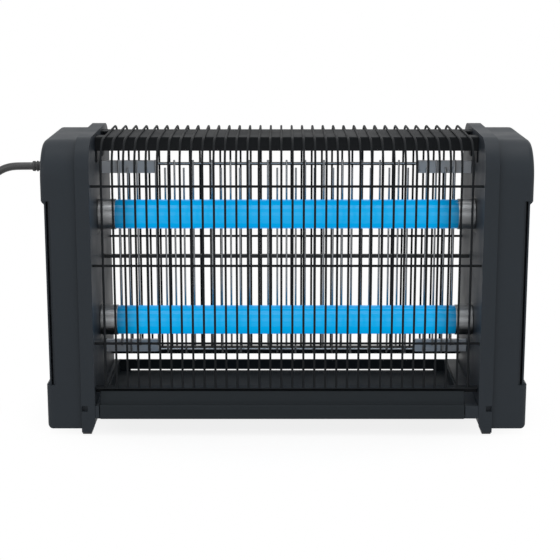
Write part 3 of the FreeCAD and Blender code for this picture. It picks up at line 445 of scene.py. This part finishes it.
# %% [markdown]
# ## Housing
# The caps and frames are injection moulded, so every outer edge has a radius that catches a thin
# line of light. On the real cap a narrow groove runs down beside the sunk panel, on the front and
# on the rear. It is made by cutting the panel's face along two planes with bisect_plane and
# pushing the strip between them in with an extrusion. A Boolean would do it too, but leaves less
# even faces. The cap also ends a little above the feet, so its lowest stretch is squeezed up.

# %% Caps
PANEL_Y, GROOVE_DEEP = 73 * MM, 7 * MM
GROOVE_INNER, GROOVE_OUTER = 201.6 * MM, 203.6 * MM
CAP_KEPT, CAP_LOW, CAP_RAISED = 20 * MM, 3 * MM, 6 * MM
ON_PANEL, ON_CUT = 0.2 * MM, 0.01 * MM
ALIGNED = 0.99


def on_panel(face, way):
    """True for a face of the sunk panel's front or rear strip."""
    off = abs(face.calc_center_median().y * way - PANEL_Y)
    return face.normal.y * way > ALIGNED and off < ON_PANEL


def grooved(form, outward, way):
    """Sinks the groove into the panel's front or rear strip and returns its number of faces."""
    for cut_x in (GROOVE_INNER, GROOVE_OUTER):
        panel = [f for f in form.faces if on_panel(f, way)]
        around = {v for f in panel for v in f.verts} | {e for f in panel for e in f.edges}
        bmesh.ops.bisect_plane(form, geom=panel + list(around), dist=ON_CUT,
                               plane_co=(outward * cut_x, 0, 0), plane_no=(1, 0, 0))
        form.normal_update()
    strip = [f for f in form.faces if on_panel(f, way)
             and GROOVE_INNER < abs(f.calc_center_median().x) < GROOVE_OUTER]
    pushed = bmesh.ops.extrude_face_region(form, geom=strip)["geom"]
    bmesh.ops.translate(form, vec=(0, -way * GROOVE_DEEP, 0),
                        verts=[v for v in pushed if isinstance(v, bmesh.types.BMVert)])
    # the extrusion leaves the faces it started from, and they would close the groove again
    bmesh.ops.delete(form, geom=[f for f in strip if f.is_valid], context="FACES_ONLY")
    return len(strip)


for side, outward in (("left", -1), ("right", 1)):
    node = f"{side}_outer_cap"
    form = node_form(node)
    squeeze = (CAP_KEPT - CAP_RAISED) / (CAP_KEPT - CAP_LOW)
    bmesh.ops.scale(form, vec=(1, 1, squeeze), space=Matrix.Translation((0, 0, -CAP_KEPT)),
                    verts=[v for v in form.verts if v.co.z < CAP_KEPT])
    print(node, "groove faces", [grooved(form, outward, way) for way in (-1, 1)])
    piece_of(break_edges(form, 0.5), f"{node}_finished", charcoal_abs, [node])

# %% Frames and rubber feet
for side in ("left", "right"):
    dressed(f"{side}_inner_frame", charcoal_abs, round_mm=0.7)
dressed("rubber_feet", black_rubber, round_mm=0.6)
print("frames and feet dressed")

# %% [markdown]
# ## Tray and folded steel
# The tray slides out on two ledges between its guides, so it rides on the moving body. It is
# moulded; the channel over the guard and the rails below it are folded or drawn steel under powder
# coat, whose edges are tighter. All keep the construction model's shape with broken edges.

# %% Ledges, guides, tray, channel and rails
for side in ("left", "right"):
    dressed(f"{side}_tray_ledge", charcoal_abs, round_mm=0.4)
    dressed(f"{side}_tray_guide", charcoal_abs, round_mm=0.5)
dressed("collection_tray", tray_abs, round_mm=0.6, body="tray")
dressed("top_channel", powder_coat, round_mm=0.35)
for end in ("front", "rear"):
    dressed(f"{end}_guard_rail", powder_coat, round_mm=0.4)

# %% [markdown]
# ## Guard
# The guard is a row of round steel hoops, powder coated after bending. One hoop is made by drawing
# a ring up, spinning it round the front bend, drawing it over the channel, spinning it round the
# rear bend and drawing it down again; the row repeats it. A curve with a bevel would give the same
# wire, but ring and spin keep the number of faces of all 34 in hand.

# %% One bent hoop
HOOP_COUNT, HOOP_PITCH = 34, 9.5 * MM
HOOP_RADIUS, HOOP_BEND = 1.0 * MM, 24 * MM
HOOP_SIDES, BEND_STEPS = 10, 8
hoops_low, hoops_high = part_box("guard_hoops")
hoop_y = (hoops_high.y - hoops_low.y) / 2 - HOOP_RADIUS
hoop_top = hoops_high.z - HOOP_RADIUS


def spun(form, edges, centre):
    """Spins a ring of edges a quarter turn about an axis along X and returns the new ring."""
    last = bmesh.ops.spin(form, geom=edges, cent=centre, axis=(1, 0, 0), dvec=(0, 0, 0),
                          angle=-math.pi / 2, steps=BEND_STEPS, use_merge=False,
                          use_normal_flip=False, use_duplicate=False)["geom_last"]
    return [e for e in last if isinstance(e, bmesh.types.BMEdge)]


def bent_hoop(x):
    """One closed hoop at a place along X."""
    form = bmesh.new()
    bmesh.ops.create_circle(form, segments=HOOP_SIDES, radius=HOOP_RADIUS,
                            matrix=Matrix.Translation((x, -hoop_y, hoops_low.z)))
    rise = hoop_top - HOOP_BEND - hoops_low.z
    ring = drawn(form, form.edges[:], (0, 0, rise))
    ring = spun(form, ring, (x, HOOP_BEND - hoop_y, hoop_top - HOOP_BEND))
    ring = drawn(form, ring, (0, 2 * (hoop_y - HOOP_BEND), 0))
    ring = spun(form, ring, (x, hoop_y - HOOP_BEND, hoop_top - HOOP_BEND))
    drawn(form, ring, (0, 0, -rise))
    bmesh.ops.holes_fill(form, edges=[e for e in form.edges if e.is_boundary], sides=HOOP_SIDES)
    return form


# %% The row of hoops
form = bent_hoop(-(HOOP_COUNT - 1) / 2 * HOOP_PITCH)
one = form.verts[:] + form.edges[:] + form.faces[:]
for number in range(1, HOOP_COUNT):
    copy = bmesh.ops.duplicate(form, geom=one)["geom"]
    moved = [v for v in copy if isinstance(v, bmesh.types.BMVert)]
    bmesh.ops.translate(form, vec=(number * HOOP_PITCH, 0, 0), verts=moved)
print("hoops", HOOP_COUNT, "faces", len(form.faces))
piece_of(form, "guard", powder_coat, ["guard_hoops"], gentle=ROUND_ANGLE)

# %% [markdown]
# ## Cross rods
# Three rods run across the hoops, in front and behind, and hold them apart. Like the high-voltage
# rods and the lamps, they are plain round bars. A cone with two equal radii gives one, closed at
# both ends, and where the ends can be seen a small bevel breaks their rims.

# %% A round bar, and the rows of cross rods
CROSS_RODS, BAR_SIDES = 3, 12
LEVEL_RIM = 1e-7


def round_bar(form, start, along, radius, sides=BAR_SIDES, chamfer=0.0):
    """Adds a closed bar to a form; along is its length as a vector."""
    turn = Vector((0, 0, 1)).rotation_difference(along).to_matrix().to_4x4()
    middle = Matrix.Translation(start + along / 2) @ turn
    made = bmesh.ops.create_cone(form, cap_ends=True, segments=sides, radius1=radius,
                                 radius2=radius, depth=along.length, matrix=middle)["verts"]
    if chamfer:
        way = along.normalized()
        rims = {e for v in made for e in v.link_edges
                if abs((e.verts[0].co - e.verts[1].co).dot(way)) < LEVEL_RIM}
        bmesh.ops.bevel(form, geom=list(rims), offset=chamfer, segments=2, profile=0.5,
                        affect="EDGES", material=-1)
    return form


for end in ("front", "rear"):
    low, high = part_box(f"{end}_guard_rods")
    rod_radius = (high.y - low.y) / 2
    spread = (high.z - low.z - 2 * rod_radius) / (CROSS_RODS - 1)
    form = bmesh.new()
    for number in range(CROSS_RODS):
        start = Vector((low.x, (low.y + high.y) / 2, low.z + rod_radius + number * spread))
        round_bar(form, start, Vector((high.x - low.x, 0, 0)), rod_radius)
    piece_of(form, f"{end}_cross_rods", powder_coat, [f"{end}_guard_rods"], gentle=ROUND_ANGLE)
    print(end, "cross rods", CROSS_RODS, "every", round(spread / MM, 1), "mm")

# %% [markdown]
# ## High-voltage grid
# Upright stainless rods stand in turn on the live and on the return carrier rod, a few millimetres
# apart. Each row is one piece, because each is one conductor. Grey nylon brackets hold the
# carriers' ends away from the walls, and a black spacer keeps the rods apart half way up.

# %% The high-voltage rods
GRID_PITCH, ROD_CHAMFER = 8.4 * MM, 0.25 * MM
for node in ("live_grid_rods", "return_grid_rods"):
    low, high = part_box(node)
    rod_radius = (high.y - low.y) / 2
    rods = round((high.x - low.x - 2 * rod_radius) / (2 * GRID_PITCH)) + 1
    form = bmesh.new()
    for number in range(rods):
        x = low.x + rod_radius + number * 2 * GRID_PITCH
        start = Vector((x, (low.y + high.y) / 2, low.z))
        round_bar(form, start, Vector((0, 0, high.z - low.z)), rod_radius, chamfer=ROD_CHAMFER)
    piece_of(form, f"{node}_drawn", stainless_rod, [node], gentle=ROUND_ANGLE)
    print(node, rods)

# %% [markdown]
# ## Lamps
# Each lamp is a straight tube between two aluminium caps with pins, which stand in black holders.
# The tube is solid here, because its lit coat hides the inside, and it has 48 sides, so that its
# outline stays round behind the straight wires.

# %% Lamps
LAMP_SIDES = 48
for level in ("lower", "upper"):
    low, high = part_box(f"{level}_lamp_glass")
    middle = (low + high) / 2
    start = Vector((low.x, middle.y, middle.z))
    form = round_bar(bmesh.new(), start, Vector((high.x - low.x, 0, 0)), (high.z - low.z) / 2,
                     LAMP_SIDES)
    piece_of(form, f"{level}_lamp_tube", lit_glass, [f"{level}_lamp_glass"], gentle=ROUND_ANGLE)
    for side in ("left", "right"):
        dressed(f"{side}_{level}_lamp_cap", lamp_aluminium, round_mm=0.3)
        dressed(f"{side}_{level}_lamp_holder", black_nylon, round_mm=0.5)
    print(level, "lamp tube", round((high.x - low.x) / MM, 1), "mm long")

# %% Grid carriers
CARRIER_CHAMFER = 0.2 * MM
for level, node in (("upper", "live_carrier_rod"), ("lower", "return_carrier_rod")):
    low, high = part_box(node)
    start = Vector((low.x, (low.y + high.y) / 2, (low.z + high.z) / 2))
    form = round_bar(bmesh.new(), start, Vector((high.x - low.x, 0, 0)), (high.y - low.y) / 2,
                     chamfer=CARRIER_CHAMFER)
    piece_of(form, f"{node}_drawn", stainless_bar, [node], gentle=ROUND_ANGLE)
    for side in ("left", "right"):
        dressed(f"{side}_{level}_grid_bracket", grey_nylon, round_mm=0.5)
    print(node, round((high.x - low.x) / MM, 1), "mm long")
dressed("grid_spacer", black_nylon, round_mm=0.4)

# %% [markdown]
# ## Inside the caps
# The right cap holds the lamps' ballasts and starters, the left one the circuit that makes the high
# voltage. None of it is seen from outside, so these pieces keep the construction model's plain
# shapes and only get their finishes.

# %% Pieces inside the caps
INSIDE_ROUNDING = 0.3
INSIDE = {
    "lower_ballast": lacquered_steel, "upper_ballast": lacquered_steel,
    "step_up_transformer": lacquered_steel, "lower_starter": white_polycarbonate,
    "upper_starter": white_polycarbonate, "lower_starter_socket": white_polycarbonate,
    "upper_starter_socket": white_polycarbonate, "terminal_block": white_polycarbonate,
    "circuit_board": glass_epoxy, "smoothing_capacitors": sleeve_film,
    "board_spacers": nickel_brass,
}
for node, finish in INSIDE.items():
    dressed(node, finish, INSIDE_ROUNDING)
print("inside the caps", len(INSIDE), "pieces")

# %% [markdown]
# ## Turned pieces
# Screws, plug pins and the strain relief are round, so each is one ring drawn along a profile. The
# screws have a rounded head with a driver recess, and the strain relief has ribs that let it bend.

# %% Screws
# distance along the screw and radius, in mm: the recess, the domed head and its rim
HEAD_HIGH, HEAD_RADIUS, SHANK_RADIUS = 2.0, 3.4, 1.5
POINT_LONG, POINT_RADIUS = 2.0, 0.4
SCREW_HEAD = [(1.1, 0.5), (0, 1.4), (0.15, 2.2), (0.7, 3.1), (1.3, HEAD_RADIUS),
              (HEAD_HIGH, HEAD_RADIUS), (HEAD_HIGH, SHANK_RADIUS)]
SCREW_SIDES = 20
for side, inward in (("left", Vector((1, 0, 0))), ("right", Vector((-1, 0, 0)))):
    form = bmesh.new()
    screws = solids_of(f"{side}_cap_screws")
    for low, high in screws:
        middle = (low + high) / 2
        start = Vector((low.x if side == "left" else high.x, middle.y, middle.z))
        long = (high.x - low.x) / MM
        shank = [(long - POINT_LONG, SHANK_RADIUS), (long, POINT_RADIUS)]
        turned(form, start, inward, SCREW_HEAD + shank, SCREW_SIDES)
    piece_of(form, f"{side}_cap_screws_turned", zinc_plate, [f"{side}_cap_screws"])
    print(side, "screws", len(screws))

# %% Strain relief
# distance and radius in mm: the flange inside the wall, the neck in its hole, the collar outside
BOOT_FOOT = [(0, 7.0), (0.4, 7.4), (2, 7.4), (2, 4.8), (8.5, 4.8), (8.5, 7.4), (10, 7.4),
             (10.5, 6.9), (10.5, 6.0)]
BOOT_TIP = [(32.0, 4.6), (32.5, 4.2)]
RIBS, FIRST_RIB, RIB_PITCH, RIB_DEEP, RIB_CUT = 7, 12.6, 2.7, 0.9, 1.0
TAPER_START, TAPER_RADIUS, TAPER_LOSS, TAPER_LONG = 10.5, 6.0, 1.4, 22.0
boot_low, boot_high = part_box("cord_boot")
boot_start = Vector((boot_high.x, (boot_low.y + boot_high.y) / 2, (boot_low.z + boot_high.z) / 2))
profile = list(BOOT_FOOT)
for number in range(RIBS):
    rib = FIRST_RIB + number * RIB_PITCH
    outer = TAPER_RADIUS - TAPER_LOSS * (rib - TAPER_START) / TAPER_LONG
    profile += [(rib - 0.3, outer), (rib, outer - RIB_DEEP),
                (rib + RIB_CUT, outer - RIB_DEEP), (rib + RIB_CUT + 0.3, outer - 0.1)]
profile += BOOT_TIP
form = turned(bmesh.new(), boot_start, Vector((-1, 0, 0)), profile)
piece_of(form, "strain_relief", black_rubber, ["cord_boot"], gentle=RIB_ANGLE)
print("strain relief with", RIBS, "ribs, from", tuple(boot_start))

# %% [markdown]
# ## Plug and tie
# The plug is a flat moulded body with two round pins, whose tips are rounded so that they find the
# socket. The body's own edges are round enough to hold, so its bevel is much wider than the
# others. The tie is a nylon strap round the coil, a little thinner on its outer side.

# %% Plug
PIN_SIDES, PIN_TIP = 24, 1.6
form = bmesh.new()
pins = solids_of("plug_pins")
for low, high in pins:
    start = Vector(((low.x + high.x) / 2, high.y, (low.z + high.z) / 2))
    radius = (high.x - low.x) / 2 / MM
    long = (high.y - low.y) / MM
    pin = [(0, radius), (long - PIN_TIP, radius), (long - 0.5, radius * 0.8),
           (long, radius * 0.4)]
    turned(form, start, Vector((0, -1, 0)), pin, PIN_SIDES)
piece_of(form, "plug_pins_turned", nickel_brass, ["plug_pins"])
dressed("plug_body", black_pvc, round_mm=2.4)
print("plug pins", len(pins))

# %% Tie round the coil
TIE_THIN, TIE_FACE = 0.6 * MM, 0.1 * MM
form = node_form("coil_tie")
tie_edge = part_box("coil_tie")[1].x
bmesh.ops.translate(form, vec=(-TIE_THIN, 0, 0),
                    verts=[v for v in form.verts if tie_edge - v.co.x < TIE_FACE])
piece_of(break_edges(form, 0.15), "coil_tie_finished", black_nylon, ["coil_tie"])
print("tie up to", round((tie_edge - TIE_THIN) / MM, 1), "mm")

# %% [markdown]
# ## Mains lead
# A round two-core lead leaves the strain relief, bends over and hangs down beside the cap. The rest
# lies in a neat coil of two layers, wound inward on top and outward below, and ends at the plug.
# The hanging part is set point by point; the coil's turns come from a loop. One NURBS spline of
# order three follows all of it, and its tightest bend is about four times the lead's thickness.

# %% Points of the route, in mm
LEAD_RADIUS = 3.5 * MM
exit_point = Vector((boot_low.x, (boot_low.y + boot_high.y) / 2, (boot_low.z + boot_high.z) / 2))
# from the strain relief's tip
HANG = [(0, 0, 0), (-10, 0, 0), (-19.9, 0.3, -0.4), (-29, 1.8, -3.4), (-37, 4, -9.1),
        (-42.5, 6.5, -17), (-45.6, 9, -26.5), (-46, 11.4, -40), (-46, 14, -80)]
# from the middle of the floor under the object
DROP = [(-278, 58, 60.5), (-283, 60, 32), (-297, 64, 15.5), (-318, 66.5, 10.5)]
COIL_X, COIL_Y = -315.5, 24
OUTER_LANE, LANE_STEP = 42.5, 7.0
TOP_LAYER, LAYER_STEP = 10.5, 7.0
# degrees along the coil: its start and end, and where it changes lane or layer
COIL_START, COIL_END, POINTS_PER_TURN = 105, 2000, 24
INWARD_TURNS = ((285, 465), (645, 825))
DOWN_TURN = (945, 1095)
OUTWARD_TURNS = ((1235, 1415), (1595, 1775))


# %% The coil's lane and layer
def eased(value, start, end):
    """0 before start, 1 after end, smooth between them."""
    share = min(max((value - start) / (end - start), 0), 1)
    return share * share * (3 - 2 * share)


def lane_at(angle):
    """Radius and height along the coil: inward on top, down, then outward below."""
    inward = sum(eased(angle, *window) for window in INWARD_TURNS)
    outward = sum(eased(angle, *window) for window in OUTWARD_TURNS)
    return (OUTER_LANE - LANE_STEP * (inward - outward),
            TOP_LAYER - LAYER_STEP * eased(angle, *DOWN_TURN))


# %% The whole route
route = [exit_point + Vector(point) * MM for point in HANG] + [Vector(point) * MM for point in DROP]
turn_step = 360 / POINTS_PER_TURN
# a spline of order three cuts the corners of its points, so they stand a little outside the lane
swell = 1 / math.cos(math.radians(turn_step / 2))
for number in range(round((COIL_END - COIL_START) / turn_step) + 1):
    angle = COIL_START + number * turn_step
    radius, height = lane_at(angle)
    across = radius * swell * math.cos(math.radians(angle))
    along = radius * swell * math.sin(math.radians(angle))
    route.append(Vector((COIL_X + across, COIL_Y + along, height)) * MM)
plug_low, plug_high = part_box("plug_body")
tail = [(-351, -8, 4.7), ((plug_low.x + plug_high.x) / 2 / MM, plug_high.y / MM, 6.9)]
route += [Vector(point) * MM for point in tail]
print("lead", len(route), "points")

# %% The spline, riding on the housing
lead = bpy.data.curves.new("mains_lead", "CURVE")
lead.dimensions = "3D"
lead.bevel_depth = LEAD_RADIUS
lead.bevel_resolution = 6
lead.resolution_u = lead.render_resolution_u = 6
spline = lead.splines.new("NURBS")
spline.points.add(len(route) - 1)
for point, place in zip(spline.points, route):
    point.co = (*place, 1)
spline.order_u = 3
spline.use_endpoint_u = True
lead.materials.append(black_pvc)
lead_piece = shown("mains_lead_cord", lead)
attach(lead_piece, "housing")
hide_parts("mains_lead", "mains_lead_coil", "mains_lead_tail")
